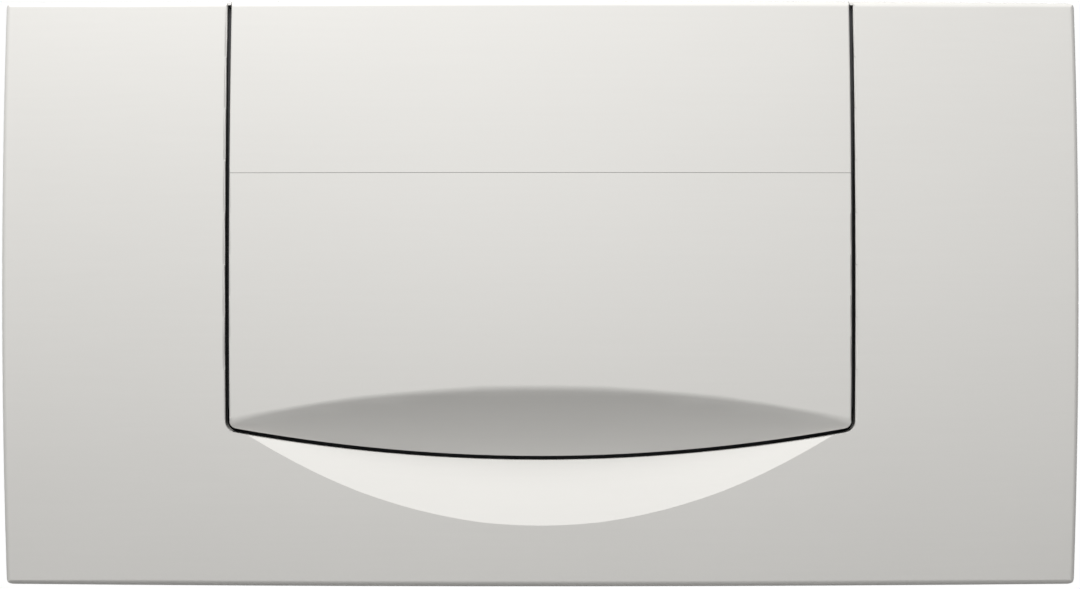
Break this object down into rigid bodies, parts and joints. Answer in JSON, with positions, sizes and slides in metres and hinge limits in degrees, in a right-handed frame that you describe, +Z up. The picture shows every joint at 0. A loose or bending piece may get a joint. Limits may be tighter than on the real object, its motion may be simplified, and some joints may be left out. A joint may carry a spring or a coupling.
{
  "type": "flush plate",
  "caption": "Crowned wall plate for a concealed cistern with a wide hinged push flap, a curved finger grip at its foot, sprung push rods and a wall frame.",
  "frame": {"origin": "midway between the two fixing bolts, in the plane of the finished wall", "axes": "+X to the user's right, +Z up, +Y into the wall; the face looks along -Y"},
  "size_m": [0.34, 0.071, 0.185],
  "materials": {
    "plate_plastic": "light silver-grey, satin",
    "panel_plastic": "light silver-grey, satin",
    "flap_plastic": "light silver-grey, satin",
    "dark_plastic": "black, moulded",
    "frame_plastic": "charcoal, moulded",
    "zinc_steel": "zinc plated",
    "pin_steel": "drawn",
    "spring_steel": "drawn wire",
    "buffer_rubber": "matt",
    "bolt_plastic": "grey, moulded",
    "nut_plastic": "blue, moulded",
    "rod_plastic": "off-white, moulded"
  },
  "bodies": {
    "plate": {"cover_shell": "plate_plastic", "header_panel": "panel_plastic", "inner_frame": "dark_plastic", "frame_screws": "zinc_steel", "hinge_pin_left": "pin_steel", "hinge_pin_right": "pin_steel", "bumper_left": "buffer_rubber", "bumper_right": "buffer_rubber", "mounting_frame": "frame_plastic", "fixing_bolt_left": "bolt_plastic", "fixing_bolt_right": "bolt_plastic", "clamp_nut_left": "nut_plastic", "clamp_nut_right": "nut_plastic", "return_spring_left": "spring_steel", "return_spring_right": "spring_steel"},
    "flap": {"flush_flap": "flap_plastic"},
    "left_rod": {"push_rod_left": "rod_plastic", "rod_tip_left": "bolt_plastic"},
    "right_rod": {"push_rod_right": "rod_plastic", "rod_tip_right": "bolt_plastic"}
  },
  "joints": [
    {"name": "flap_hinge", "type": "hinge", "parent": "plate", "child": "flap", "pos_m": [0, -0.0062, 0.033], "axis": [1, 0, 0], "range_deg": [0, 5], "stiffness_Nm_per_rad": 3, "springref_deg": -4.18},
    {"name": "left_rod_slide", "type": "slide", "parent": "plate", "child": "left_rod", "axis": [0, 1, 0], "range_m": [0, 0.005], "deforming": ["return_spring_left"]},
    {"name": "right_rod_slide", "type": "slide", "parent": "plate", "child": "right_rod", "axis": [0, 1, 0], "range_m": [0, 0.005], "deforming": ["return_spring_right"]}
  ],
  "couplings": [
    {"joint": "left_rod_slide", "follows": "flap_hinge", "m_per_rad": 0.055},
    {"joint": "right_rod_slide", "follows": "flap_hinge", "m_per_rad": 0.055}
  ]
}
